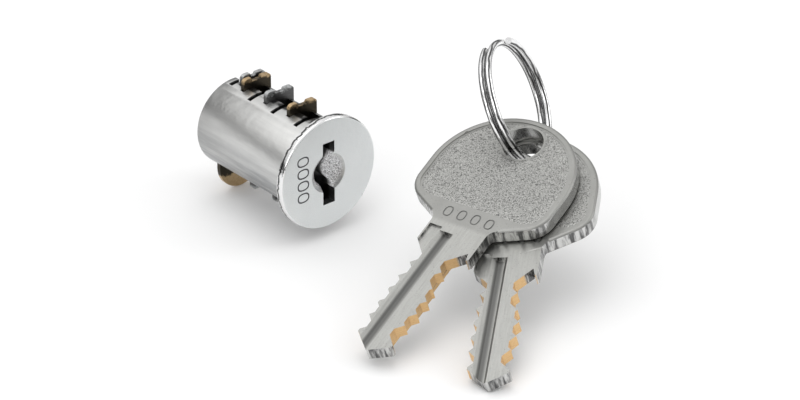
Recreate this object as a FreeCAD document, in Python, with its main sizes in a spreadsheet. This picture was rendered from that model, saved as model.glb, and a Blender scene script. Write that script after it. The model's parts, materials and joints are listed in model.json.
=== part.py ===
"""Removable lock core with two keys on a split ring.

Millimetres and degrees. X runs to the right of the face, Y from the face towards the tail and Z up
the keyway. The origin is on the core's axis, in the plane behind the flange where it seats.
"""
import FreeCAD, Part
import math
import os

import Sketcher

SIZES = [
    # alias, value, what it is
    ("flange_dia", 15.5, "round face"),
    ("flange_thick", 1.0, "face to seat"),
    ("flange_round", 0.35, "front edge of the face"),
    ("barrel_dia", 12.0, "barrel behind the face"),
    ("tail_end", 18.8, "seat to the end of the barrel"),
    ("tail_chamfer", 0.3, "end of the barrel"),
    ("overshoot", 0.5, "how far a cutting outline runs past the face that it cuts"),
    ("root", 0.1, "how far a ridge runs into the blade that it stands on"),
    ("dimple_dia", 5.6, "round hollow that guides the key's tip"),
    ("dimple_depth", 0.8, "round hollow that guides the key's tip"),
    ("keyway_half", 4.4, "half the keyway's height"),
    ("keyway_wall", 0.95, "half the keyway's width"),
    ("bulge_depth", 1.3, "how far the keyway bows to the left"),
    ("bulge_half", 2.85, "half the height of that bow"),
    ("bulge_mid", 0.35, "height of its middle"),
    ("first_slot", 3.4, "seat to the first wafer"),
    ("slot_pitch", 2.34, "wafer to wafer"),
    ("extra_slot", 16.25, "seat to the seventh wafer"),
    ("wafer_thick", 0.6, "all wafers"),
    ("slot_width", 0.7, "all wafer slots"),
    ("side_play", 0.15, "wafer edge to slot end"),
    ("wafer_travel", 2.0, "proud to flush"),
    ("tongue_travel", 3.2, "proud to flush, retaining wafer"),
    ("flush_radius", 5.92, "foot of a wafer, about the axis when flush"),
    ("up_left", -1.1, "edges of the wafers that rise"),
    ("up_right", 3.4, "edges of the wafers that rise"),
    ("down_left", -1.8, "edges of the wafers that drop"),
    ("down_right", 2.7, "edges of the wafers that drop"),
    ("extra_left", -0.4, "left edge of the seventh wafer"),
    ("window_edge", 1.15, "web beside the key"),
    ("ear_high", 7.4, "left ear of a wafer"),
    ("ear_low", 7.2, "right ear of a wafer"),
    ("saddle", 6.9, "between the ears"),
    ("ear_round", 0.6, "corner of an ear"),
    ("ear_width", 1.25, "flat of the left ear and its round"),
    ("ear_slope", 0.2, "ear down to saddle"),
    ("lug_reach", 0.75, "lug beyond the wafer's edge"),
    ("lug_low", 1.0, "face of the lug that sits on the spring"),
    ("lug_high", 1.8, "other face of the lug"),
    ("pocket_radius", 0.5, "spring pocket"),
    ("pocket_offset", 0.5, "wafer's edge to the pocket's axis"),
    ("pocket_floor", 2.2, "axis to the blind end of a pocket"),
    ("tongue_left", -3.45, "retaining wafer"),
    ("tongue_radius", 3.4, "round end of the retaining wafer"),
    ("tongue_base", 5.7, "axis to the centre of that round"),
    ("tongue_top", 3.1, "axis to the top of the tongue"),
    ("tongue_web", 1.6, "top of the web beside the key"),
    ("tongue_lug", 1.2, "axis to the lug's sprung face"),
    ("tongue_floor", 3.6, "axis to the blind end of its pocket"),
    ("channel_left", 0.5, "open channel over the keyway"),
    ("channel_right", 2.4, "open channel over the keyway"),
    ("channel_floor", 4.0, "axis to the channel's floor"),
    ("under_left", -0.3, "channel under the keyway"),
    ("under_right", 1.0, "channel under the keyway"),
    ("spring_radius", 0.36, "mean radius of a wafer spring"),
    ("spring_wire", 0.08, "radius of its wire"),
    ("spring_gap", 0.1, "wire's centre line to the face that it bears on"),
    ("spring_turns", 6, "turns of a wafer spring"),
    ("key_thick", 2.2, "bow"),
    ("blade_thick", 1.7, "blade"),
    ("hole_dia", 5.3, "hole in the bow"),
    ("bow_radius", 10.05, "round top of the bow"),
    ("bow_centre", -6.05, "hole to the centre of that round"),
    ("corner_radius", 3.6, "lower corners of the bow"),
    ("corner_centre", -9.2, "hole to the centre of a corner"),
    ("shoulder_angle", 63, "where the corner meets the shoulder"),
    ("field_inset", 0.8, "rim around the sunk field"),
    ("field_depth", 0.12, "sunk field of the bow"),
    ("field_end", -11.95, "lower edge of the sunk field"),
    ("bow_round", 0.4, "edges of the bow"),
    ("stop", -14.45, "hole to the shoulder that meets the face"),
    ("neck_half", 4.1, "half the neck's width"),
    ("neck_length", 4.85, "shoulder to the end of the neck"),
    ("nub", 0.3, "hook at the end of the neck"),
    ("shoulder_round", 1.5, "hollow between the bow and the neck"),
    ("blade_root", 0.7, "how far the blade runs into the bow"),
    ("peak_half", 2.9, "uncut blade between two cuts"),
    ("cut_flat", 0.5, "half the flat at the bottom of a cut"),
    ("tip_half", 2.7, "corners of the tip"),
    ("tip_flat", 0.35, "straight edge at a corner of the tip"),
    ("apex", -36.6, "hole to the point of the tip"),
    ("left_cut_2", 2.05, "left edge, at the second wafer"),
    ("left_cut_3", 2.15, "left edge"),
    ("left_cut_4", 2.4, "left edge"),
    ("left_cut_5", 2.4, "left edge"),
    ("left_cut_6", 2.4, "left edge"),
    ("left_cut_7", 2.05, "left edge, at the retaining wafer"),
    ("right_cut_2", 1.3, "right edge, at the second wafer"),
    ("right_cut_3", 1.3, "right edge"),
    ("right_cut_4", 2.1, "right edge"),
    ("right_cut_5", 2.2, "right edge"),
    ("right_cut_6", 2.0, "right edge"),
    ("right_cut_7", 1.4, "right edge, at the retaining wafer"),
    ("groove_left", -2.05, "mouth of the long groove"),
    ("groove_right", -0.05, "mouth of the long groove"),
    ("bed_left", -1.3, "flat bed of the long groove"),
    ("bed_right", -0.5, "flat bed of the long groove"),
    ("groove_floor", 0.45, "height of the bed above the bow's middle plane"),
    ("groove_end", -16.5, "hole to the end of the long groove"),
    ("ridge_half", 1.0, "half the ridge behind the groove"),
    ("ridge_end", -35.1, "hole to the end of the ridge"),
    ("ward_left", -3.9, "short groove in the neck"),
    ("ward_right", -2.05, "short groove in the neck"),
    ("ward_depth", 0.35, "short groove in the neck"),
    ("ward_end", -15.9, "hole to the start of the short groove"),
    ("key_lean", 22.4, "slope of both keys"),
    ("key_heading", -75.7, "turn of the upper key about the upright"),
    ("key_fan", 24.4, "lower key from the upper one"),
    ("key_x", 15.24, "hole of the upper key"),
    ("key_y", -21.3, "hole of the upper key"),
    ("key_z", 6.44, "hole of the upper key"),
    ("key_gap", 0.06, "between the two keys"),
    ("under_across", 0.21, "hole of the lower key from the upper one's"),
    ("under_along", -0.53, "hole of the lower key from the upper one's"),
    ("ring_radius", 7.8, "middle of the ring's wire"),
    ("ring_wire", 0.45, "radius of the ring's wire"),
    ("ring_pitch", 0.94, "coil to coil"),
    ("ring_turns", 1.92, "turns of the ring"),
    ("ring_x", 18.46, "middle of the ring"),
    ("ring_y", -16.06, "middle of the ring"),
    ("ring_z", 9.94, "middle of the ring"),
    ("ring_heading", 34.6, "turn of the ring about the upright"),
    ("ring_lean", 65.0, "lean of the ring's axis from the upright"),
    ("ring_roll", 90.0, "where the ring's wire ends"),
]

STATIONS = [2, 3, 4, 5, 6, 7]


class Term:
    """A number together with the sheet expression that gives it."""

    def __init__(self, number, text):
        self.number = number
        self.text = text

    def __add__(self, other):
        return combine(self, other, "+", lambda a, b: a + b)

    def __sub__(self, other):
        return combine(self, other, "-", lambda a, b: a - b)

    def __mul__(self, other):
        return combine(self, other, "*", lambda a, b: a * b)

    def __truediv__(self, other):
        return combine(self, other, "/", lambda a, b: a / b)

    def __neg__(self):
        return Term(-self.number, f"(-1 * {self.text})")


def term(value):
    """A plain number as a Term."""
    if isinstance(value, Term):
        return value
    return Term(float(value), repr(float(value)) if value >= 0 else f"({float(value)!r})")


def combine(first, second, sign, action):
    """Two terms joined by a sign, in the number and in the text."""
    first = term(first)
    second = term(second)
    return Term(action(first.number, second.number), f"({first.text} {sign} {second.text})")


def root(value):
    """The square root of a term."""
    return Term(math.sqrt(value.number), f"sqrt({value.text})")


doc = FreeCAD.newDocument("lock_core")
sheet = doc.addObject("Spreadsheet::Sheet", "Sizes")
for line, (alias, value, note) in enumerate(SIZES, start=1):
    sheet.set(f"A{line}", note)
    sheet.set(f"B{line}", str(value))
    sheet.setAlias(f"B{line}", alias)
doc.recompute()
s = {alias: Term(float(value), f"Sizes.{alias}") for alias, value, note in SIZES}


# --- sketches and features ---------------------------------------------------------------------


def new_body(label):
    """An empty body with its own label."""
    body = doc.addObject("PartDesign::Body", label)
    body.Label = label
    return body


def origin_feature(body, role):
    """One of the body's own origin planes or axes."""
    return next(item for item in body.Origin.OriginFeatures if item.Role == role)


def new_sketch(body, name, plane, offset):
    """A sketch on one of the body's planes, moved along the plane's normal."""
    sketch = body.newObject("Sketcher::SketchObject", name)
    sketch.AttachmentSupport = [(origin_feature(body, plane), "")]
    sketch.MapMode = "FlatFace"
    sketch.setExpression("AttachmentOffset.Base.z", term(offset).text)
    return sketch


def pin_vertex(sketch, piece, end, x, y):
    """Bind one end of a line or arc to its place in the sheet."""
    for kind, value, axis in (("DistanceX", x, -2), ("DistanceY", y, -1)):
        value = term(value)
        if abs(value.number) < 1e-9:
            sketch.addConstraint(Sketcher.Constraint("PointOnObject", piece, end, axis))
        else:
            rule = Sketcher.Constraint(kind, -1, 1, piece, end, value.number)
            place = sketch.addConstraint(rule)
            sketch.setExpression(f"Constraints[{place}]", value.text)


def arc_between(start, end, radius, turn):
    """The short arc from start to end that turns left (1) or right (-1)."""
    chord = end - start
    rise = math.sqrt(max(radius * radius - chord.Length * chord.Length / 4, 0))
    side = FreeCAD.Vector(-chord.y, chord.x, 0).normalize() * turn
    centre = (start + end) / 2 + side * rise
    first, last = (start, end) if turn > 0 else (end, start)
    from_angle = math.atan2(first.y - centre.y, first.x - centre.x)
    to_angle = math.atan2(last.y - centre.y, last.x - centre.x)
    circle = Part.Circle(centre, FreeCAD.Vector(0, 0, 1), radius)
    return Part.ArcOfCircle(circle, from_angle, to_angle)


def draw_outline(sketch, outline):
    """A closed outline: each entry is (x, y) or (x, y, radius, turn), for an arc that ends there."""
    points = [FreeCAD.Vector(term(entry[0]).number, term(entry[1]).number, 0) for entry in outline]
    ends = []
    for place, entry in enumerate(outline):
        start = points[place - 1]
        end = points[place]
        if len(entry) == 2:
            piece = sketch.addGeometry(Part.LineSegment(start, end), False)
            ends.append((piece, 1, 2))
        else:
            radius, turn = term(entry[2]), entry[3]
            piece = sketch.addGeometry(arc_between(start, end, radius.number, turn), False)
            ends.append((piece, 1, 2) if turn > 0 else (piece, 2, 1))
            rule = sketch.addConstraint(Sketcher.Constraint("Radius", piece, radius.number))
            sketch.setExpression(f"Constraints[{rule}]", radius.text)
    for place, entry in enumerate(outline):
        piece, first, last = ends[place]
        following, next_first, next_last = ends[(place + 1) % len(outline)]
        sketch.addConstraint(Sketcher.Constraint("Coincident", piece, last, following, next_first))
        pin_vertex(sketch, piece, last, entry[0], entry[1])


def draw_circle(sketch, x, y, radius):
    """A circle whose centre and radius come from the sheet."""
    x, y, radius = term(x), term(y), term(radius)
    circle = Part.Circle(FreeCAD.Vector(x.number, y.number, 0), FreeCAD.Vector(0, 0, 1), radius.number)
    piece = sketch.addGeometry(circle, False)
    rule = sketch.addConstraint(Sketcher.Constraint("Radius", piece, radius.number))
    sketch.setExpression(f"Constraints[{rule}]", radius.text)
    pin_vertex(sketch, piece, 3, x, y)


def box_outline(left, right, low, high):
    """Four corners of an upright rectangle."""
    return [(left, low), (right, low), (right, high), (left, high)]


def add_pad(body, sketch, length, symmetric=False, reverse=False):
    """Material from a sketch."""
    pad = body.newObject("PartDesign::Pad", "pad")
    pad.Profile = sketch
    pad.setExpression("Length", term(length).text)
    pad.SideType = "Symmetric" if symmetric else "One side"
    pad.Reversed = reverse
    doc.recompute()
    return pad


def add_pocket(body, sketch, length, reverse=False):
    """A cut from a sketch, against its normal unless reversed. It has to remove something."""
    before = body.Shape.Volume
    pocket = body.newObject("PartDesign::Pocket", "pocket")
    pocket.Profile = sketch
    pocket.Type = "Length"
    pocket.setExpression("Length", term(length).text)
    pocket.Reversed = reverse
    doc.recompute()
    check_cut(body, before, sketch.Label)
    return pocket


def check_cut(body, before, name):
    """Stop if a cut left the volume as it was."""
    if body.Shape.Volume > before - 1e-4:
        raise RuntimeError(f"{name} cut nothing from {body.Label}")


def repeat_along_y(body, feature, step, count):
    """Copies of a feature behind each other."""
    before = body.Shape.Volume
    pattern = body.newObject("PartDesign::LinearPattern", "pattern")
    pattern.Originals = [feature]
    pattern.Direction = (origin_feature(body, "Y_Axis"), [""])
    pattern.setExpression("Length", (step * (count - 1)).text)
    pattern.Occurrences = count
    body.Tip = pattern
    doc.recompute()
    check_cut(body, before, "pattern")


def slot_place(number):
    """Seat to the middle of a numbered wafer slot."""
    return s["first_slot"] + s["slot_pitch"] * (number - 1)


# --- core --------------------------------------------------------------------------------------


def turned_profile():
    """Half section of the face and barrel."""
    face = s["flange_dia"] / 2
    barrel = s["barrel_dia"] / 2
    front = -s["flange_thick"]
    edge = s["flange_round"]
    end = s["tail_end"]
    return [
        (0, front),
        (face - edge, front),
        (face, front + edge, edge, 1),
        (face, 0),
        (barrel, 0),
        (barrel, end - s["tail_chamfer"]),
        (barrel - s["tail_chamfer"], end),
        (0, end),
    ]


def dimple_profile():
    """Half section of the hollow in the face: a shallow ball shape."""
    radius = s["dimple_dia"] / 2
    depth = s["dimple_depth"]
    ball = (radius * radius + depth * depth) / (depth * 2)
    front = -s["flange_thick"]
    above = front - s["overshoot"]
    return [
        (0, above),
        (radius, above),
        (radius, front),
        (0, front + depth, ball, 1),
    ]


def keyway_outline():
    """The keyway: straight ends, and a middle that bows to the left in four S curves."""
    wall = s["keyway_wall"]
    half = s["keyway_half"]
    depth = s["bulge_depth"]
    rise = s["bulge_half"]
    mid = s["bulge_mid"]
    bend = (depth * depth + rise * rise) / (depth * 4)
    outline = [(-wall, -half), (wall, -half), (wall, mid - rise)]
    outline += s_curve(wall, mid - rise, wall - depth, mid, bend, 1)
    outline += s_curve(wall - depth, mid, wall, mid + rise, bend, -1)
    outline += [(wall, half), (-wall, half), (-wall, mid + rise)]
    outline += s_curve(-wall, mid + rise, -wall - depth, mid, bend, -1)
    outline += s_curve(-wall - depth, mid, -wall, mid - rise, bend, 1)
    return outline


def s_curve(x, y, end_x, end_y, bend, turn):
    """Two equal arcs that leave and arrive upright."""
    middle = ((term(x) + end_x) / 2, (term(y) + end_y) / 2)
    return [(middle[0], middle[1], bend, turn), (end_x, end_y, bend, -turn)]


def tongue_slot_outline():
    """Slot of the retaining wafer: wide below, as narrow as the others above."""
    left = s["tongue_left"] - s["side_play"]
    step = s["up_left"] - s["side_play"]
    right = s["tongue_left"] + s["tongue_radius"] * 2 + s["side_play"]
    shelf = s["tongue_travel"] - s["tongue_top"] + s["side_play"]
    beyond = s["barrel_dia"]
    return [(left, -beyond), (right, -beyond), (right, beyond), (step, beyond), (step, shelf), (left, shelf)]


def add_slot(body, name, outline, place):
    """One wafer slot, right through the barrel."""
    sketch = new_sketch(body, name, "XZ_Plane", -(place - s["slot_width"] / 2))
    draw_outline(sketch, outline)
    return add_pocket(body, sketch, s["slot_width"])


def add_spring_pockets(body, name, places, edge, floor, rises):
    """Blind holes beside the slots, open at the side that the wafers stand proud of."""
    sketch = new_sketch(body, name, "XY_Plane", -floor if rises else floor)
    for place in places:
        draw_circle(sketch, edge + s["pocket_offset"], place, s["pocket_radius"])
    add_pocket(body, sketch, s["barrel_dia"], reverse=rises)


def build_core():
    """The plug: face, barrel, keyway, wafer slots and spring pockets."""
    body = new_body("core_body")
    profile = new_sketch(body, "turned_profile", "XY_Plane", 0)
    draw_outline(profile, turned_profile())
    turned = body.newObject("PartDesign::Revolution", "turned")
    turned.Profile = profile
    turned.ReferenceAxis = (profile, ["V_Axis"])
    turned.Angle = 360
    doc.recompute()

    hollow = new_sketch(body, "dimple_profile", "XY_Plane", 0)
    draw_outline(hollow, dimple_profile())
    before = body.Shape.Volume
    dimple = body.newObject("PartDesign::Groove", "dimple")
    dimple.Profile = hollow
    dimple.ReferenceAxis = (hollow, ["V_Axis"])
    dimple.Angle = 360
    doc.recompute()
    check_cut(body, before, "dimple")

    keyway = new_sketch(body, "keyway", "XZ_Plane", s["flange_thick"] * 2)
    draw_outline(keyway, keyway_outline())
    add_pocket(body, keyway, s["tail_end"] * 2)

    beyond = s["barrel_dia"]
    start = s["first_slot"] - s["slot_width"] / 2
    channel = new_sketch(body, "channel", "XZ_Plane", -start)
    draw_outline(channel, box_outline(s["channel_left"], s["channel_right"], s["channel_floor"], beyond))
    add_pocket(body, channel, s["tail_end"])
    under = new_sketch(body, "under_channel", "XZ_Plane", -start)
    draw_outline(under, box_outline(s["under_left"], s["under_right"], -beyond, -s["channel_floor"]))
    add_pocket(body, under, s["tail_end"])

    play = s["side_play"]
    rising = box_outline(s["up_left"] - play, s["up_right"] + play, -beyond, beyond)
    dropping = box_outline(s["down_left"] - play, s["down_right"] + play, -beyond, beyond)
    extra = box_outline(s["extra_left"] - play, s["up_right"] + play, -beyond, beyond)
    repeat_along_y(body, add_slot(body, "dropping_slot", dropping, slot_place(1)), s["slot_pitch"] * 2, 3)
    repeat_along_y(body, add_slot(body, "rising_slot", rising, slot_place(2)), s["slot_pitch"] * 2, 3)
    add_slot(body, "extra_slot", extra, s["extra_slot"])
    add_slot(body, "tongue_slot", tongue_slot_outline(), slot_place(7))

    rising_places = [slot_place(2), slot_place(4), slot_place(6), s["extra_slot"]]
    dropping_places = [slot_place(1), slot_place(3), slot_place(5)]
    tongue_edge = s["tongue_left"] + s["tongue_radius"] * 2
    floor = s["pocket_floor"]
    add_spring_pockets(body, "rising_pockets", rising_places, s["up_right"], floor, True)
    add_spring_pockets(body, "dropping_pockets", dropping_places, s["down_right"], floor, False)
    add_spring_pockets(body, "tongue_pocket", [slot_place(7)], tongue_edge, s["tongue_floor"], False)


# --- wafers and springs ------------------------------------------------------------------------


def wafer_outline(left, right, cut, clear, rises):
    """A wafer with its window open to the left, at rest. A dropping wafer is the mirror image."""
    travel = s["wafer_travel"]
    flush = s["flush_radius"]
    foot_left = travel - root(flush * flush - left * left)
    foot_right = travel - root(flush * flush - right * right)
    lug = right + s["lug_reach"]
    high = s["ear_high"]
    low = s["ear_low"]
    corner = s["ear_round"]
    inner_left = left + s["ear_width"]
    inner_right = right - s["ear_width"] - s["ear_slope"]
    bar = clear + travel + 0.1
    shelf = travel - cut
    window = s["window_edge"]
    outline = [
        (left, foot_left),
        (right, foot_right, flush, 1),
        (right, s["lug_low"]),
        (lug, s["lug_low"]),
        (lug, s["lug_high"]),
        (right, s["lug_high"]),
        (right, low - corner),
        (right - corner, low, corner, 1),
        (inner_right, low),
        (inner_right - s["ear_slope"], s["saddle"]),
        (inner_left + s["ear_slope"], s["saddle"]),
        (inner_left, high),
        (left + corner, high),
        (left, high - corner, corner, 1),
        (left, bar),
        (window, bar),
        (window, shelf),
        (left, shelf),
    ]
    if rises:
        return outline
    return [(entry[0], -entry[1]) + mirrored_arc(entry) for entry in outline]


def mirrored_arc(entry):
    """The arc of an outline entry, turned the other way."""
    return (entry[2], -entry[3]) if len(entry) == 4 else ()


def tongue_outline():
    """The retaining wafer: a round-ended tongue below the key and a web beside it."""
    left = s["tongue_left"]
    radius = s["tongue_radius"]
    right = left + radius * 2
    base = -s["tongue_base"]
    sprung = -s["tongue_lug"]
    lug = right + s["lug_reach"]
    lug_thick = s["lug_high"] - s["lug_low"]
    return [
        (left, base),
        (left + radius, base - radius, radius, 1),
        (right, base, radius, 1),
        (right, sprung - lug_thick),
        (lug, sprung - lug_thick),
        (lug, sprung),
        (right, sprung),
        (right, s["tongue_web"]),
        (s["window_edge"], s["tongue_web"]),
        (s["window_edge"], -s["tongue_top"]),
        (left, -s["tongue_top"]),
    ]


def build_wafer(label, place, outline):
    """A flat wafer in its slot."""
    body = new_body(label)
    sketch = new_sketch(body, f"{label}_outline", "XZ_Plane", 0)
    draw_outline(sketch, outline)
    add_pad(body, sketch, s["wafer_thick"], symmetric=True)
    body.setExpression("Placement.Base.y", term(place).text)


def build_coil(label, radius, wire, pitch, turns):
    """A coil of round wire about its own Z axis, from its lower end up."""
    path = doc.addObject("Part::Helix", f"{label}_path")
    path.setExpression("Radius", radius.text)
    path.setExpression("Pitch", pitch.text)
    path.setExpression("Height", (pitch * turns).text)
    section = doc.addObject("Part::Circle", f"{label}_section")
    section.setExpression("Radius", wire.text)
    slope = math.degrees(math.atan2(pitch.number, 2 * math.pi * radius.number))
    section.Placement.Rotation = FreeCAD.Rotation(FreeCAD.Vector(1, 0, 0), 90 + slope)
    section.setExpression("Placement.Base.x", radius.text)
    coil = doc.addObject("Part::Sweep", label)
    coil.Label = label
    coil.Sections = [section]
    coil.Spine = (path, [])
    coil.Solid = True
    coil.Frenet = True
    doc.recompute()
    return coil


def build_spring(label, place, edge, low, high):
    """A spring between the blind end of its pocket and the wafer's lug."""
    gap = s["spring_gap"]
    length = high - low - gap * 2
    pitch = length / s["spring_turns"]
    coil = build_coil(label, s["spring_radius"], s["spring_wire"], pitch, s["spring_turns"])
    coil.setExpression("Placement.Base.x", (edge + s["pocket_offset"]).text)
    coil.setExpression("Placement.Base.y", term(place).text)
    coil.setExpression("Placement.Base.z", (low + gap).text)


def build_wafers():
    """Four dropping and four rising wafers, the last one the retaining wafer, and their springs."""
    rise = (s["up_left"], s["up_right"], True)
    drop = (s["down_left"], s["down_right"], False)
    extra = (s["extra_left"], s["up_right"], True)
    peak = s["peak_half"]
    extra_cut = s["left_cut_6"] + s["extra_slot"] - slot_place(6) - s["cut_flat"]
    wafers = [
        (1, slot_place(1), drop, s["neck_half"], s["neck_half"]),
        (2, slot_place(2), rise, s["left_cut_2"], peak),
        (3, slot_place(3), drop, s["right_cut_3"], peak),
        (4, slot_place(4), rise, s["left_cut_4"], peak),
        (5, slot_place(5), drop, s["right_cut_5"], peak),
        (6, slot_place(6), rise, s["left_cut_6"], peak),
        (7, s["extra_slot"], extra, extra_cut, peak),
    ]
    for number, place, (left, right, rises), cut, clear in wafers:
        build_wafer(f"wafer_{number}", place, wafer_outline(left, right, cut, clear, rises))
        low, high = (-s["pocket_floor"], s["lug_low"]) if rises else (-s["lug_low"], s["pocket_floor"])
        build_spring(f"spring_{number}", place, right, low, high)
    build_wafer("retaining_wafer", slot_place(7), tongue_outline())
    edge = s["tongue_left"] + s["tongue_radius"] * 2
    build_spring("retaining_spring", slot_place(7), edge, -s["tongue_lug"], s["tongue_floor"])


# --- keys and ring -----------------------------------------------------------------------------


def corner_end(corner):
    """Where a lower corner of the bow, of this radius, runs into its shoulder."""
    angle = math.radians(s["shoulder_angle"].number)
    corner_x = s["bow_radius"] - s["corner_radius"]
    return corner_x + corner * math.cos(angle), s["corner_centre"] - corner * math.sin(angle)


def bow_outline(inset, low):
    """The bow: round top, straight sides, round lower corners and sloping shoulders."""
    radius = s["bow_radius"] - inset
    corner = s["corner_radius"] - inset
    slope = 1 / math.tan(math.radians(s["shoulder_angle"].number))
    end_x, end_y = corner_end(corner)
    foot_x = end_x - (end_y - low) / slope
    top = s["bow_centre"] + radius
    return [
        (0, top, radius, 1),
        (-radius, s["bow_centre"], radius, 1),
        (-radius, s["corner_centre"]),
        (-end_x, end_y, corner, 1),
        (-foot_x, low),
        (foot_x, low),
        (end_x, end_y),
        (radius, s["corner_centre"], corner, 1),
        (radius, s["bow_centre"]),
    ]


def edge_cuts(side):
    """One edge of the blade from the neck to the tip, as (half width, place along the key)."""
    flat = s["cut_flat"]
    peak = s["peak_half"]
    cuts = [s[f"{side}_cut_{number}"] for number in STATIONS]
    places = [s["stop"] - s["flange_thick"] - slot_place(number) for number in STATIONS]
    points = []
    for number, (cut, place) in enumerate(zip(cuts, places)):
        points.append((cut, place + flat))
        points.append((cut, place - flat))
        if number + 1 == len(cuts):
            points.append((s["tip_half"], place - flat - (s["tip_half"] - cut)))
            points.append((s["tip_half"], place - flat - (s["tip_half"] - cut) - s["tip_flat"]))
            break
        following = cuts[number + 1]
        climb = (s["slot_pitch"] - flat * 2 + following - cut) / 2
        if cut.number + climb.number > peak.number:
            points.append((peak, place - flat - (peak - cut)))
            points.append((peak, places[number + 1] + flat + (peak - following)))
        else:
            points.append((cut + climb, place - flat - climb))
    return points


def blade_outline():
    """Neck, both cut edges and the pointed tip."""
    neck = s["neck_half"]
    nub = s["nub"]
    neck_end = s["stop"] - s["neck_length"]
    right = edge_cuts("right")
    left = edge_cuts("left")
    ramp_top = right[0][1] + (neck - nub * 2 - right[0][0])
    left_ramp_top = left[0][1] + (neck - left[0][0])
    angle = math.radians(s["shoulder_angle"].number)
    rounding = s["shoulder_round"]
    reach = rounding * math.tan(angle / 2)
    end_x, end_y = corner_end(s["corner_radius"])
    meeting = end_y - (end_x - neck) / math.tan(angle)
    low = meeting - reach
    high = meeting + reach * math.cos(angle)
    wide = neck + reach * math.sin(angle)
    root_x = wide - s["blade_root"] * math.cos(angle)
    root_y = high + s["blade_root"] * math.sin(angle)
    outline = [(-root_x, root_y), (-wide, high), (-neck, low, rounding, -1), (-neck, left_ramp_top)]
    outline += [(-half, along) for half, along in left]
    outline += [(0, s["apex"])]
    outline += [(half, along) for half, along in reversed(right)]
    outline += [(neck - nub * 2, ramp_top), (neck - nub, neck_end - nub), (neck, neck_end)]
    outline += [(neck, low), (wide, high, rounding, -1), (root_x, root_y)]
    return outline


def round_bow_edges(body, pad):
    """Soften the outer edges of both faces of the bow."""
    half = s["key_thick"].number / 2
    names = []
    for number, edge in enumerate(pad.Shape.Edges, start=1):
        if all(abs(abs(vertex.Z) - half) < 1e-6 for vertex in edge.Vertexes):
            names.append(f"Edge{number}")
    before = body.Shape.Volume
    rounded = body.newObject("PartDesign::Fillet", "bow_edges")
    rounded.Base = (pad, names)
    rounded.setExpression("Radius", s["bow_round"].text)
    doc.recompute()
    check_cut(body, before, "bow_edges")


def build_key(label):
    """A flat key, its hole at its origin, its bow towards +Y and its grooved face up."""
    body = new_body(label)
    half = s["key_thick"] / 2
    blade_back = half - s["blade_thick"]
    bow = new_sketch(body, f"{label}_bow", "XY_Plane", 0)
    draw_outline(bow, bow_outline(0, s["stop"]))
    round_bow_edges(body, add_pad(body, bow, s["key_thick"], symmetric=True))

    for face in (1, -1):
        field = new_sketch(body, f"{label}_field", "XY_Plane", half * face)
        draw_outline(field, bow_outline(s["field_inset"], s["field_end"]))
        add_pocket(body, field, s["field_depth"], reverse=face < 0)
    hole = new_sketch(body, f"{label}_hole", "XY_Plane", half)
    draw_circle(hole, 0, 0, s["hole_dia"] / 2)
    add_pocket(body, hole, s["key_thick"])

    blade = new_sketch(body, f"{label}_blade", "XY_Plane", blade_back)
    draw_outline(blade, blade_outline())
    add_pad(body, blade, s["blade_thick"])
    middle = s["bulge_mid"]
    ridge = new_sketch(body, f"{label}_ridge", "XY_Plane", -half)
    ridge_sides = (middle - s["ridge_half"], middle + s["ridge_half"])
    draw_outline(ridge, box_outline(*ridge_sides, s["ridge_end"], s["stop"]))
    add_pad(body, ridge, blade_back + half + s["root"])

    groove = new_sketch(body, f"{label}_groove", "XZ_Plane", s["overshoot"] - s["apex"])
    draw_outline(groove, [
        (s["bed_left"], s["groove_floor"]),
        (s["bed_right"], s["groove_floor"]),
        (s["groove_right"], half),
        (s["groove_right"], half * 2),
        (s["groove_left"], half * 2),
        (s["groove_left"], half),
    ])
    add_pocket(body, groove, s["groove_end"] - s["apex"] + s["overshoot"])
    ward = new_sketch(body, f"{label}_ward", "XY_Plane", half)
    ward_low = s["stop"] - s["neck_length"] - s["overshoot"]
    draw_outline(ward, box_outline(s["ward_left"], s["ward_right"], ward_low, s["ward_end"]))
    add_pocket(body, ward, s["ward_depth"])
    return body


def build_keys():
    """The upper key, and the lower one fanned out beneath it."""
    upright = FreeCAD.Vector(0, 0, 1)
    lean = FreeCAD.Rotation(FreeCAD.Vector(1, 0, 0), s["key_lean"].number)
    slope = FreeCAD.Rotation(upright, s["key_heading"].number) * lean
    upper_place = FreeCAD.Vector(s["key_x"].number, s["key_y"].number, s["key_z"].number)
    below = -(s["key_thick"].number + s["key_gap"].number)
    shift = FreeCAD.Vector(s["under_across"].number, s["under_along"].number, below)
    lower_place = upper_place + slope.multVec(shift)
    fan = FreeCAD.Rotation(upright, s["key_fan"].number)
    build_key("key_1").Placement = FreeCAD.Placement(upper_place, slope)
    build_key("key_2").Placement = FreeCAD.Placement(lower_place, slope * fan)


def build_ring():
    """The split ring: almost two turns of round wire."""
    coil = build_coil("split_ring", s["ring_radius"], s["ring_wire"], s["ring_pitch"], s["ring_turns"])
    upright = FreeCAD.Vector(0, 0, 1)
    turn = FreeCAD.Rotation(upright, s["ring_heading"].number)
    lean = FreeCAD.Rotation(FreeCAD.Vector(1, 0, 0), s["ring_lean"].number)
    roll = FreeCAD.Rotation(upright, s["ring_roll"].number)
    rotation = turn * lean * roll
    middle = FreeCAD.Vector(s["ring_x"].number, s["ring_y"].number, s["ring_z"].number)
    half_height = (s["ring_pitch"] * s["ring_turns"] / 2).number
    coil.Placement = FreeCAD.Placement(middle - rotation.multVec(upright * half_height), rotation)


# --- check and write ---------------------------------------------------------------------------


def sub_parts():
    """Every piece that gets a file."""
    bodies = [item for item in doc.Objects if item.TypeId == "PartDesign::Body"]
    coils = [item for item in doc.Objects if item.TypeId == "Part::Sweep"]
    return bodies + coils


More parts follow.
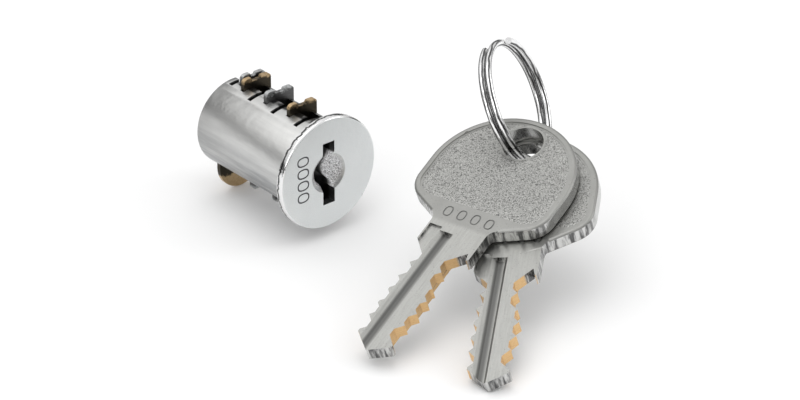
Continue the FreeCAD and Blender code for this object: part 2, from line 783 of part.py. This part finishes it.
def check_and_write():
    """Stop on any failed object or broken shape, then write one file for each piece."""
    doc.recompute()
    for item in doc.Objects:
        if "Invalid" in item.State or "Error" in item.State:
            raise RuntimeError(f"{item.Label} did not compute: {item.State}")
    for item in sub_parts():
        shape = item.Shape
        if shape.isNull() or not shape.isValid() or len(shape.Solids) != 1:
            raise RuntimeError(f"{item.Label} is not one valid solid")
    os.makedirs("parts", exist_ok=True)
    for item in sub_parts():
        item.Shape.exportStep(f"parts/{item.Label}.step")
        print(f"{item.Label}: {item.Shape.Volume:.2f} mm3")


build_core()
build_wafers()
build_keys()
build_ring()
check_and_write()
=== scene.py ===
"""Removable lock core with two keys on a split ring: looks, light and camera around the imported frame.

Everything is in metres in the frame of the CAD model. Materials work in millimetres, read from
object coordinates, which are the places of the parts at rest.
"""

import json
import math

import bmesh
import bpy
from mathutils import Matrix, Vector, noise


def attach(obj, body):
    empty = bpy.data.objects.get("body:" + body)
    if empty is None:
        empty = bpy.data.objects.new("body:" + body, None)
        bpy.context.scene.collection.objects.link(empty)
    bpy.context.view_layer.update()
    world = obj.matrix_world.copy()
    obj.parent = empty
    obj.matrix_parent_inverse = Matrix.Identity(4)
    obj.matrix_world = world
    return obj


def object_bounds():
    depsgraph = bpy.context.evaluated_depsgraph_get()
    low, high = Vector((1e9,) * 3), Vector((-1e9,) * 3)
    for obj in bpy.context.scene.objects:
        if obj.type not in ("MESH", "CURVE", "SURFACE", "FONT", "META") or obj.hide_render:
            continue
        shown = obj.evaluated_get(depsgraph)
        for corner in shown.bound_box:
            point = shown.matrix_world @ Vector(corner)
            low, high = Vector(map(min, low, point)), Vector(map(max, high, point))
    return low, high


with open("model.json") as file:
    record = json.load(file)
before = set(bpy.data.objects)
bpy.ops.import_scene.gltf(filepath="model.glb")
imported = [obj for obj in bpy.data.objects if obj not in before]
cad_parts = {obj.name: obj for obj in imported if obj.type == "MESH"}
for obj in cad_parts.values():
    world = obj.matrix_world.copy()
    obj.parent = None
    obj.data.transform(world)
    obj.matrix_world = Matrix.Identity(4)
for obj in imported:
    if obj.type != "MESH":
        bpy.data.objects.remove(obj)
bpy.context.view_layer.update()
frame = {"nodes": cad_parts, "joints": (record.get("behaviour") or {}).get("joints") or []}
nodes = frame["nodes"]
joints = {joint["name"]: joint for joint in frame["joints"]}
MM = 0.001

# --- sizes, in millimetres ---------------------------------------------------------------------
FACE_Y = -1.0
FLANGE_BACK = 0.0
TAIL_Y = 18.8
FLANGE_RADIUS = 7.75
BARREL_RADIUS = 6.0
DIMPLE_RADIUS = 2.8
CHANNEL_SIDES = (-0.3, 3.2)
CHANNEL_ENDS = (1.8, 16.8)
CHANNEL_BED = 4.1
EAR_BASE = 6.65
RING_AXIS = (0.5146, -0.746, 0.4226)
KEY_FAN = math.radians(24.4)
KEY_HALF = 1.1
HOLE_RADIUS = 2.65
HOLE_RIM = 0.05
BOW_RADIUS = 10.05
BOW_CENTRE = -6.05
CORNER_RADIUS = 3.6
CORNER_CENTRE = -9.2
FIELD_INSET = 0.8
FIELD_END = -11.95
FIELD_DEPTH = 0.12
BLADE_TOP = -14.6
GROOVE_TOP = -16.5
GROOVE_SIDES = (-2.05, -0.05)
CUTS = (-19.4, -34.75)
PEBBLE_STEP = 0.1
PEBBLE_RIM = 0.5
PEBBLE_DIP = 0.03
PEBBLE_LIFT = 0.045
PEBBLE_FINE = 0.03
PEBBLE_COARSE = 0.012
FINE_RATE = 4.6
COARSE_RATE = 1.9
DIGITS = 4
DIGITS_PLACE = -13.4
OVAL_POWER = 0.8
CUT_RISE = 0.2
WELD = 0.001


def key_axes(joint, turn):
    """The hole of a key and its own axes: across it, along it to the bow, and out of its face."""
    axis = Vector(joint["axis"]).normalized()
    across = Vector((0, 0, 1)).cross(axis).normalized()
    along = axis.cross(across)
    rotation = Matrix.Rotation(turn, 3, axis)
    return Vector(joint["pos_m"]), rotation @ across, rotation @ along, axis


# --- material graphs ---------------------------------------------------------------------------
class Graph:
    """A procedural material, built node by node. Lengths are millimetres."""

    def __init__(self, name):
        self.material = bpy.data.materials.new(name)
        self.material.use_nodes = True
        self.tree = self.material.node_tree
        self.tree.nodes.clear()
        coordinates = self.tree.nodes.new("ShaderNodeTexCoord")
        self.place = self.vector("SCALE", coordinates.outputs["Object"], scale=1000)
        self.normal = coordinates.outputs["Normal"]

    def put(self, socket, value):
        if isinstance(value, bpy.types.NodeSocket):
            self.tree.links.new(value, socket)
        elif isinstance(value, (tuple, list, Vector)) and len(socket.default_value) == 4:
            socket.default_value = (*value[:3], 1)
        else:
            socket.default_value = value

    def node(self, kind, values=(), **settings):
        made = self.tree.nodes.new(kind)
        for name, value in settings.items():
            setattr(made, name, value)
        for key, value in dict(values).items():
            self.put(made.inputs[key], value)
        return made

    def math(self, operation, first, second=0.0, third=0.0, clamp=False):
        values = {0: first, 1: second, 2: third}
        made = self.node("ShaderNodeMath", values, operation=operation, use_clamp=clamp)
        return made.outputs[0]

    def vector(self, operation, first, second=(0, 0, 0), scale=1.0):
        made = self.tree.nodes.new("ShaderNodeVectorMath")
        made.operation = operation
        self.put(made.inputs[0], first)
        self.put(made.inputs[1], second)
        if operation == "SCALE":
            self.put(made.inputs["Scale"], scale)
        single = operation in ("DOT_PRODUCT", "LENGTH", "DISTANCE")
        return made.outputs["Value" if single else "Vector"]

    def parts(self, place):
        made = self.node("ShaderNodeSeparateXYZ", {0: place})
        return made.outputs[0], made.outputs[1], made.outputs[2]

    def joined(self, x, y, z):
        return self.node("ShaderNodeCombineXYZ", {0: x, 1: y, 2: z}).outputs[0]

    def step(self, value, low, high):
        """0 below low, 1 above high, smooth between them. Low may be the larger."""
        values = {"Value": value, "From Min": low, "From Max": high}
        made = self.node("ShaderNodeMapRange", values, interpolation_type="SMOOTHSTEP")
        return made.outputs[0]

    def both(self, *masks):
        made = masks[0]
        for mask in masks[1:]:
            made = self.math("MULTIPLY", made, mask)
        return made

    def mix(self, share, first, second):
        made = self.node("ShaderNodeMix", data_type="RGBA")
        for socket, value in ((0, share), (6, first), (7, second)):
            self.put(made.inputs[socket], value)
        return made.outputs[2]

    def blend(self, share, first, second):
        made = self.node("ShaderNodeMix", data_type="FLOAT")
        for socket, value in ((0, share), (2, first), (3, second)):
            self.put(made.inputs[socket], value)
        return made.outputs[0]

    def noise(self, place, scale, detail=3.0, roughness=0.55):
        values = {"Vector": place, "Scale": scale, "Detail": detail, "Roughness": roughness}
        return self.node("ShaderNodeTexNoise", values).outputs["Fac"]

    def stretched(self, place, x, y, z):
        return self.vector("MULTIPLY", place, (x, y, z))

    def bump(self, height, strength, distance, after=None):
        values = {"Height": height, "Strength": strength, "Distance": distance}
        if after is not None:
            values["Normal"] = after
        return self.node("ShaderNodeBump", values).outputs[0]

    def finish(self, colour, roughness, normal=None, metallic=1.0, **more):
        values = {"Base Color": colour, "Roughness": roughness, "Metallic": metallic, **more}
        if normal is not None:
            values["Normal"] = normal
        surface = self.node("ShaderNodeBsdfPrincipled", values)
        output = self.tree.nodes.new("ShaderNodeOutputMaterial")
        self.tree.links.new(surface.outputs[0], output.inputs[0])
        return self.material


def core_places(g):
    """Masks for the places of the core, each 1 inside: a dictionary by name."""
    x, y, z = g.parts(g.place)
    radius = g.math("SQRT", g.math("ADD", g.math("MULTIPLY", x, x), g.math("MULTIPLY", z, z)))
    left, right = CHANNEL_SIDES
    front_end, back_end = CHANNEL_ENDS
    front = g.step(y, FACE_Y + 0.07, FACE_Y + 0.03)
    return {
        "front": front,
        "dimple": g.both(
            g.step(radius, DIMPLE_RADIUS, DIMPLE_RADIUS - 0.05),
            g.step(y, FACE_Y + 0.1, FACE_Y + 0.4),
        ),
        "rim": g.both(
            g.step(radius, FLANGE_RADIUS - 0.45, FLANGE_RADIUS - 0.15),
            g.math("SUBTRACT", 1, front),
        ),
        # inner walls of the keyway and slots, where painted shade goes
        "inside": g.both(
            g.step(radius, BARREL_RADIUS - 0.05, BARREL_RADIUS - 0.4),
            g.step(y, FLANGE_BACK - 0.15, FLANGE_BACK + 0.6),
            g.step(y, TAIL_Y - 0.05, TAIL_Y - 0.15),
        ),
        # floor of the channel between the wafers, where painted shade goes
        "channel": g.both(
            g.step(z, CHANNEL_BED - 0.3, CHANNEL_BED),
            g.step(x, left - 0.4, left),
            g.step(x, right + 0.5, right),
            g.step(y, front_end - 0.8, front_end),
            g.step(y, back_end + 0.6, back_end),
        ),
        # crease where the barrel meets the back of the flange, where painted shade goes
        "crease_shade": g.both(
            g.step(y, FLANGE_BACK - 0.05, FLANGE_BACK),
            g.step(y, FLANGE_BACK + 0.2, FLANGE_BACK + 0.12),
            g.step(radius, BARREL_RADIUS - 0.2, BARREL_RADIUS - 0.1),
            g.step(radius, BARREL_RADIUS + 0.6, BARREL_RADIUS + 0.3),
        ),
        "digits": g.both(
            g.step(y, FACE_Y + 0.01, FACE_Y + 0.03),
            g.step(y, FACE_Y + 0.2, FACE_Y + 0.15),
            g.step(radius, DIMPLE_RADIUS + 0.15, DIMPLE_RADIUS + 0.2),
            g.step(radius, FLANGE_RADIUS - 0.55, FLANGE_RADIUS - 0.65),
        ),
        # upper left of the barrel, where the painted highlight goes
        "above": g.both(g.step(z, -0.5, 4.5), g.step(x, 0.5, -3.5)),
        # underside of the barrel, where the painted shade goes
        "below": g.step(z, 1.5, -3.5),
    }


def rim_painted_reflection(g):
    """A painted reflection on the rim: bright, with a dark wandering line along its middle."""
    height = g.parts(g.place)[1]
    wander = g.math("SUBTRACT", g.noise(g.stretched(g.place, 0.9, 0.2, 0.9), 1.0, 3, 0.6), 0.5)
    middle = g.math("ADD", height, 0.3)
    line = g.math("ABSOLUTE", g.math("ADD", middle, g.math("MULTIPLY", wander, 1.1)))
    return g.mix(g.step(line, 0.22, 0.08), (0.80, 0.80, 0.80), (0.09, 0.09, 0.09))


def core_material():
    """Satin nickel on the cast core: fine grain on the face, soft streaks along the barrel, and painted
    light and shade.
    """
    g = Graph("core_nickel")
    place = core_places(g)
    cloud = g.noise(g.place, 0.35, 4)
    streak = g.noise(g.stretched(g.place, 1.3, 0.12, 1.3), 1.0, 5, 0.6)
    grain = g.noise(g.place, 9.0, 2)
    sparkle = g.step(g.noise(g.place, 7.0, 2, 0.7), 0.35, 0.62)

    tone = g.mix(streak, (0.38, 0.385, 0.385), (0.66, 0.66, 0.65))
    # painted highlight: the upper left of the barrel is lighter, as if lit from above
    bright = g.mix(streak, (0.66, 0.66, 0.65), (0.90, 0.90, 0.88))
    tone = g.mix(place["above"], tone, bright)
    # painted shade: the underside of the barrel is darker, in patches
    tone = g.mix(g.both(place["below"], g.step(streak, 0.7, 0.3)), tone, (0.26, 0.27, 0.28))
    face_tone = g.mix(cloud, (0.70, 0.72, 0.725), (0.78, 0.80, 0.80))
    face_tone = g.mix(g.step(grain, 0.35, 0.75), face_tone, (0.84, 0.86, 0.86))
    tone = g.mix(place["front"], tone, face_tone)
    tone = g.mix(place["dimple"], tone, g.mix(sparkle, (0.16, 0.16, 0.165), (0.85, 0.85, 0.86)))
    # painted reflection on the polished rim
    tone = g.mix(place["rim"], tone, rim_painted_reflection(g))
    # painted shade, in patches, on the channel floor between the wafers
    tone = g.mix(g.both(place["channel"], g.step(cloud, 0.62, 0.5)), tone, (0.035, 0.035, 0.035))
    # painted shade inside the keyway and slots
    tone = g.mix(place["inside"], tone, (0.10, 0.10, 0.10))
    # painted shade in the crease behind the flange
    tone = g.mix(place["crease_shade"], tone, (0.06, 0.06, 0.06))
    tone = g.mix(place["digits"], tone, (0.10, 0.10, 0.105))

    roughness = g.blend(streak, 0.42, 0.30)
    roughness = g.blend(place["front"], roughness, 0.5)
    roughness = g.blend(place["dimple"], roughness, 0.3)
    roughness = g.blend(place["rim"], roughness, 0.12)
    height = g.blend(place["dimple"], g.math("MULTIPLY", grain, 0.25), sparkle)
    normal = g.bump(height, 0.35, 0.04 * MM)
    normal = g.bump(cloud, 0.25, 0.4 * MM, normal)
    return g.finish(tone, roughness, normal)


def key_coordinates(g, axes):
    """Across, along and above, in millimetres, in a key's own frame; and how flat a face lies."""
    hole, across, along, out = axes
    local = g.vector("SUBTRACT", g.place, tuple(hole * 1000))
    u, v, n = (g.vector("DOT_PRODUCT", local, tuple(axis)) for axis in (across, along, out))
    lying = g.math("ABSOLUTE", g.vector("DOT_PRODUCT", g.normal, tuple(out)))
    return u, v, n, lying


def key_places(g, u, v, n, lying):
    """Masks for the places of a key, each 1 inside: a dictionary by name."""
    groove_left, groove_right = GROOVE_SIDES
    first_cut, last_cut = CUTS
    edge = g.step(lying, 0.45, 0.3)
    return {
        "edge": edge,
        "cut": g.both(edge, g.step(v, first_cut, first_cut - 0.3), g.step(v, last_cut, last_cut + 0.15)),
        "blade": g.step(v, BLADE_TOP, BLADE_TOP - 0.8),
        "bow": g.step(v, FIELD_END + 0.45, CORNER_CENTRE + 0.2),
        "groove": g.both(
            g.step(v, GROOVE_TOP + 0.2, GROOVE_TOP - 0.3),
            g.step(u, groove_left, groove_left + 0.1),
            g.step(u, groove_right - 0.1, groove_right - 0.25),
            g.step(n, 0.0, 0.1),
        ),
        "shade": g.both(
            g.step(u, groove_left + 0.3, groove_left + 0.6),
            g.step(u, groove_right - 0.25, groove_right - 0.95),
        ),
        "digits": g.both(
            g.step(n, KEY_HALF - 0.015, KEY_HALF - 0.03),
            g.step(n, KEY_HALF - 0.2, KEY_HALF - 0.15),
            g.step(v, FIELD_END - 0.15, FIELD_END - 0.35),
            g.step(v, BLADE_TOP - 0.4, BLADE_TOP - 0.2),
            g.step(lying, 0.96, 0.985),
        ),
    }


def key_material(name, axes):
    """Nickel plate over brass: bare metal where the edges were cut after plating; painted reflections on
    the plated edges.
    """
    g = Graph(name)
    u, v, n, lying = key_coordinates(g, axes)
    local = g.joined(u, v, n)
    place = key_places(g, u, v, n, lying)
    scratch = g.noise(g.stretched(local, 5.0, 0.35, 5.0), 1.0, 4, 0.6)
    cloud = g.noise(local, 0.4, 3)
    grain = g.noise(local, 6.0, 3, 0.6)
    reflection_streaks = g.noise(g.stretched(local, 1.9, 1.9, 0.3), 1.0, 3, 0.6)
    mill = g.noise(g.stretched(local, 2.0, 2.0, 12.0), 1.0, 3)

    tone = g.mix(cloud, (0.27, 0.27, 0.258), (0.36, 0.36, 0.345))
    tone = g.mix(g.both(place["blade"], scratch), tone, (0.47, 0.47, 0.45))
    tone = g.mix(g.step(grain, 0.62, 0.75), tone, (0.20, 0.20, 0.19))
    tone = g.mix(g.both(place["groove"], place["shade"]), tone, (0.14, 0.14, 0.135))
    # painted reflections on the plated side edges: light and dark streaks, plain mid grey round the bow
    edge_reflection_tone = g.mix(g.step(reflection_streaks, 0.62, 0.40), (0.62, 0.62, 0.61), (0.12, 0.12, 0.12))
    edge_reflection_tone = g.mix(place["bow"], edge_reflection_tone, (0.50, 0.50, 0.49))
    plated = g.math("SUBTRACT", 1, place["cut"])
    tone = g.mix(g.both(place["edge"], plated), tone, edge_reflection_tone)
    tone = g.mix(place["digits"], tone, (0.17, 0.17, 0.165))
    tone = g.mix(place["cut"], tone, g.mix(mill, (0.55, 0.33, 0.14), (0.86, 0.62, 0.34)))

    roughness = g.blend(place["edge"], g.blend(grain, 0.3, 0.5), 0.2)
    roughness = g.blend(place["cut"], roughness, 0.38)
    normal = g.bump(grain, 0.3, 0.05 * MM)
    normal = g.bump(scratch, g.math("MULTIPLY", place["blade"], 0.3), 0.05 * MM, normal)
    return g.finish(tone, roughness, normal)


def wafer_material(name, low, high, dark):
    """Stamped sheet metal, darker towards the middle, below and between the ears."""
    g = Graph(name)
    height = g.math("ABSOLUTE", g.parts(g.place)[2])
    cloud = g.noise(g.place, 1.4, 5, 0.65)
    reach = g.math("ADD", g.math("MULTIPLY", g.math("SUBTRACT", cloud, 0.5), 2.0), height)
    tone = g.mix(g.noise(g.place, 4.0, 3), low, high)
    # darker below the ears, with a ragged edge
    tone = g.mix(g.step(reach, EAR_BASE + 0.6, EAR_BASE), tone, dark)
    grain = g.noise(g.place, 12.0, 3)
    return g.finish(tone, g.blend(cloud, 0.45, 0.28), g.bump(grain, 0.35, 0.03 * MM))


def wire_material(name, low, high, roughness):
    """Drawn wire: faint lengthwise tone and a little grain."""
    g = Graph(name)
    cloud = g.noise(g.place, 0.8, 4)
    grain = g.noise(g.place, 14.0, 2)
    tone = g.mix(cloud, low, high)
    roughness = g.blend(cloud, roughness * 0.7, roughness * 1.3)
    return g.finish(tone, roughness, g.bump(grain, 0.08, 0.02 * MM))


def ring_material(name):
    """Bright wire with dark lengthwise streaks: painted reflections, and painted shade on the side that
    faces down.
    """
    g = Graph(name)
    up = g.vector("DOT_PRODUCT", g.normal, (0.15, -0.45, 0.88))
    side = g.vector("DOT_PRODUCT", g.normal, RING_AXIS)
    wander = g.math("MULTIPLY", g.math("SUBTRACT", g.noise(g.place, 0.35, 2), 0.5), 0.9)
    across = g.math("ADD", g.math("ABSOLUTE", side), wander)
    # painted reflections: dark bands set by how the wire's normal lies to the ring's axis
    dark = g.both(g.step(across, 0.22, 0.38), g.step(across, 0.86, 0.62))
    tone = g.mix(dark, (0.88, 0.88, 0.88), (0.09, 0.09, 0.09))
    # painted shade where the wire faces down
    tone = g.mix(g.step(up, -0.2, -0.7), tone, (0.12, 0.12, 0.12))
    grain = g.noise(g.place, 14.0, 2)
    return g.finish(tone, 0.16, g.bump(grain, 0.08, 0.02 * MM))


axes = {
    "key_1": key_axes(joints["key_1_swing"], 0.0),
    "key_2": key_axes(joints["key_2_swing"], KEY_FAN),
}
brass_look = wafer_material("wafer_brass", (0.40, 0.27, 0.14), (0.66, 0.50, 0.30), (0.05, 0.042, 0.03))
nickel_look = wafer_material("wafer_nickel", (0.42, 0.43, 0.43), (0.62, 0.63, 0.63), (0.12, 0.12, 0.12))
looks = {
    "core_body": core_material(),
    "split_ring": ring_material("ring_chrome"),
    "key_1": key_material("key_1_plate", axes["key_1"]),
    "key_2": key_material("key_2_plate", axes["key_2"]),
}
steel_look = wire_material("spring_steel", (0.30, 0.30, 0.31), (0.55, 0.55, 0.56), 0.3)
for name, part in nodes.items():
    if "spring" in name:
        look = steel_look
    elif name in ("wafer_2", "wafer_6", "retaining_wafer"):
        look = brass_look
    elif name.startswith("wafer"):
        look = nickel_look
    else:
        look = looks[name]
    part.data.materials.clear()
    part.data.materials.append(look)

# --- engraved digits ---------------------------------------------------------------------------
def oval(width, height, count=40):
    """Points round a digit zero: an ellipse with fuller corners."""
    points = []
    for number in range(count):
        angle = 2 * math.pi * number / count
        x, y = math.cos(angle), math.sin(angle)
        points.append((
            math.copysign(abs(x) ** OVAL_POWER, x) * width / 2,
            math.copysign(abs(y) ** OVAL_POWER, y) * height / 2,
        ))
    return points


def zeros_cutter(name, middle, reading, rising, out, width, height, pitch, stroke, depth):
    """Closed rings in the shape of four zeros, to be cut into a face. Sizes are millimetres."""
    cells = bmesh.new()
    for number in range(DIGITS):
        shift = (number - (DIGITS - 1) / 2) * pitch
        loops = []
        for inset, lift in ((0, CUT_RISE), (stroke, CUT_RISE), (stroke, -depth), (0, -depth)):
            loops.append([
                cells.verts.new(middle + (reading * (x + shift) + rising * y + out * lift) * MM)
                for x, y in oval(width - inset * 2, height - inset * 2)
            ])
        for place, loop in enumerate(loops):
            following = loops[(place + 1) % len(loops)]
            for corner in range(len(loop)):
                after = (corner + 1) % len(loop)
                cells.faces.new((loop[corner], loop[after], following[after], following[corner]))
    bmesh.ops.recalc_face_normals(cells, faces=cells.faces)
    mesh = bpy.data.meshes.new(name)
    cells.to_mesh(mesh)
    cells.free()
    cutter = bpy.data.objects.new(name, mesh)
    bpy.context.scene.collection.objects.link(cutter)
    cutter.hide_render = True
    cutter.hide_viewport = True
    return cutter


def engrave(part, cutter):
    """Cut a closed shape out of a CAD node as it is shown; its own mesh stays."""
    weld = part.modifiers.new("weld", "WELD")
    weld.merge_threshold = WELD * MM
    cut = part.modifiers.new("engraving", "BOOLEAN")
    cut.operation = "DIFFERENCE"
    cut.solver = "EXACT"
    cut.object = cutter


X_AXIS, Y_AXIS, Z_AXIS = Vector((1, 0, 0)), Vector((0, 1, 0)), Vector((0, 0, 1))

engrave(nodes["core_body"], zeros_cutter(
    "face_cut", Vector((-4.2, FACE_Y, 0.4)) * MM, Z_AXIS, -X_AXIS, -Y_AXIS,
    width=1.42, height=1.9, pitch=1.72, stroke=0.2, depth=0.07,
))
for name, (hole, across, along, out) in axes.items():
    middle = hole + (across * 0.3 + along * DIGITS_PLACE + out * KEY_HALF) * MM
    engrave(nodes[name], zeros_cutter(
        f"{name}_cut", middle, across, along, out,
        width=1.2, height=1.65, pitch=2.05, stroke=0.17, depth=0.08,
    ))


# --- pebbled field of the bow ------------------------------------------------------------------
def field_margin(u, v):
    """How far inside the sunk field a point of the bow lies, in millimetres."""
    radius = BOW_RADIUS - FIELD_INSET
    corner = CORNER_RADIUS - FIELD_INSET
    corner_u = BOW_RADIUS - CORNER_RADIUS
    to_hole = math.hypot(u, v) - HOLE_RADIUS - HOLE_RIM
    if v >= BOW_CENTRE:
        edge = radius - math.hypot(u, v - BOW_CENTRE)
    elif v >= CORNER_CENTRE:
        edge = radius - abs(u)
    else:
        edge = v - FIELD_END
        edge = min(edge, radius - abs(u))
        if abs(u) > corner_u:
            edge = min(edge, corner - math.hypot(abs(u) - corner_u, v - CORNER_CENTRE))
    return min(edge, to_hole)


def pebbles(u, v, seed):
    """Height of the blasted surface above the floor of the field, in millimetres."""
    fine = noise.noise(Vector((u * FINE_RATE, v * FINE_RATE, seed)))
    coarse = noise.noise(Vector((u * COARSE_RATE, v * COARSE_RATE, seed + 20)))
    return PEBBLE_LIFT + PEBBLE_FINE * fine + PEBBLE_COARSE * coarse


def add_field(name, side):
    """The pebbled skin of one side of a bow. Its rim dips under the floor of the field."""
    hole, across, along, out = axes[name]
    floor_height = KEY_HALF - FIELD_DEPTH
    cells = bmesh.new()
    grid = {}
    columns = round((BOW_RADIUS * 2) / PEBBLE_STEP)
    rows = round((BOW_RADIUS + BOW_CENTRE - FIELD_END) / PEBBLE_STEP)
    for column in range(columns + 1):
        for row in range(rows + 1):
            u = -BOW_RADIUS + column * PEBBLE_STEP
            v = FIELD_END + row * PEBBLE_STEP
            margin = field_margin(u, v)
            if margin < 0:
                continue
            share = min(margin / PEBBLE_RIM, 1)
            share = share * share * (3 - 2 * share)
            height = share * pebbles(u, v, side * 7.5 + hole.z * 1000) - (1 - share) * PEBBLE_DIP
            place = across * u + along * v + out * side * (floor_height + height)
            grid[column, row] = cells.verts.new(hole + place * MM)
    for (column, row), corner in grid.items():
        others = [grid.get(key) for key in ((column + 1, row), (column + 1, row + 1), (column, row + 1))]
        if None not in others:
            ring = (corner, *others)
            cells.faces.new(ring if side > 0 else ring[::-1])
    for face in cells.faces:
        face.smooth = True
    mesh = bpy.data.meshes.new(name)
    cells.to_mesh(mesh)
    cells.free()
    skin = bpy.data.objects.new(f"{name}_field_{'front' if side > 0 else 'back'}", mesh)
    bpy.context.scene.collection.objects.link(skin)
    mesh.materials.append(field_looks[name])
    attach(skin, name)


def field_material(name, key):
    """Blasted nickel: a fine sparkle of bright and dark grains."""
    g = Graph(name)
    u, v, n, lying = key_coordinates(g, axes[key])
    local = g.joined(u, v, n)
    grain = g.noise(local, 5.5, 3, 0.65)
    fine = g.noise(local, 11.0, 2, 0.6)
    cloud = g.noise(local, 0.5, 3)
    tone = g.mix(cloud, (0.29, 0.29, 0.278), (0.37, 0.37, 0.355))
    tone = g.mix(g.step(grain, 0.50, 0.38), tone, (0.12, 0.12, 0.117))
    tone = g.mix(g.step(fine, 0.55, 0.68), tone, (0.62, 0.62, 0.60))
    normal = g.bump(grain, 0.5, 0.06 * MM)
    normal = g.bump(fine, 0.4, 0.03 * MM, normal)
    return g.finish(tone, g.blend(grain, 0.5, 0.32), normal)


field_looks = {name: field_material(f"{name}_pebbled", name) for name in axes}
for name in axes:
    for side in (1, -1):
        add_field(name, side)

# --- camera ------------------------------------------------------------------------------------
AZIMUTH = math.radians(-40.4)
ELEVATION = math.radians(28.5)
FOCAL_PIXELS = 4500
IMAGE_WIDTH = 800
SENSOR = 36.0
FACE_IN_VIEW = Vector((-9.08, 3.45, -574.2)) * MM

right = Vector((math.cos(AZIMUTH), math.sin(AZIMUTH), 0))
back = Vector((
    math.sin(AZIMUTH) * math.cos(ELEVATION),
    -math.cos(AZIMUTH) * math.cos(ELEVATION),
    math.sin(ELEVATION),
))
up = back.cross(right)
camera = bpy.data.objects.new("camera", bpy.data.cameras.new("camera"))
bpy.context.scene.collection.objects.link(camera)
camera.data.sensor_width = SENSOR
camera.data.lens = FOCAL_PIXELS * SENSOR / IMAGE_WIDTH
camera.data.clip_start = 0.01
camera.data.clip_end = 10
turned = Matrix((right, up, back)).transposed()
camera.location = Vector((0, FACE_Y * MM, 0)) - turned @ FACE_IN_VIEW
camera.rotation_euler = turned.to_euler()
bpy.context.scene.camera = camera

# --- floor and light ---------------------------------------------------------------------------
FLOOR_GAP = 0.0001
FLOOR_HALF = 1.5
low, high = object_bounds()
floor_mesh = bpy.data.meshes.new("floor")
floor = bpy.data.objects.new("floor", floor_mesh)
bpy.context.scene.collection.objects.link(floor)
cells = bmesh.new()
bmesh.ops.create_grid(cells, x_segments=8, y_segments=8, size=FLOOR_HALF)
cells.to_mesh(floor_mesh)
cells.free()
floor.location = (0.01, -0.01, low.z - FLOOR_GAP)
g = Graph("floor")
pale = g.mix(g.noise(g.place, 0.02, 2), (0.90, 0.90, 0.90), (0.93, 0.93, 0.93))
floor_mesh.materials.append(g.finish(pale, 0.8, metallic=0.0))


def softbox(name, place, size, power, aim=(0.012, -0.012, 0.0)):
    """A square soft light that faces the object."""
    light = bpy.data.lights.new(name, "AREA")
    light.shape = "RECTANGLE"
    light.size, light.size_y = size
    light.energy = power
    lamp = bpy.data.objects.new(name, light)
    bpy.context.scene.collection.objects.link(lamp)
    lamp.location = place
    lamp.rotation_euler = (Vector(aim) - Vector(place)).to_track_quat("-Z", "Y").to_euler()
    return lamp


WORLD_TONES = ((0.0, 0.10), (0.16, 0.12), (0.30, 0.70), (0.6, 0.95), (1.0, 0.85))
WORLD_STRENGTH = 1.05

softbox("light_top", (-0.10, 0.05, 0.50), (0.50, 0.50), 0.75)
softbox("light_left", (-0.50, -0.25, 0.25), (0.30, 0.30), 0.55)
softbox("light_right", (0.45, -0.35, 0.30), (0.25, 0.35), 0.55)

world = bpy.data.worlds.new("studio")
bpy.context.scene.world = world
world.use_nodes = True
tree = world.node_tree
tree.nodes.clear()
coordinates = tree.nodes.new("ShaderNodeTexCoord")
split = tree.nodes.new("ShaderNodeSeparateXYZ")
tree.links.new(coordinates.outputs["Generated"], split.inputs[0])
ramp = tree.nodes.new("ShaderNodeValToRGB")
tree.links.new(split.outputs[2], ramp.inputs[0])
while len(ramp.color_ramp.elements) < len(WORLD_TONES):
    ramp.color_ramp.elements.new(0.5)
for element, (place, tone) in zip(ramp.color_ramp.elements, WORLD_TONES):
    element.position = place
    element.color = (tone, tone, tone, 1)
shade = tree.nodes.new("ShaderNodeBackground")
tree.links.new(ramp.outputs[0], shade.inputs[0])
shade.inputs[1].default_value = WORLD_STRENGTH
output = tree.nodes.new("ShaderNodeOutputWorld")
tree.links.new(shade.outputs[0], output.inputs[0])

bpy.context.scene.view_settings.view_transform = "Standard"
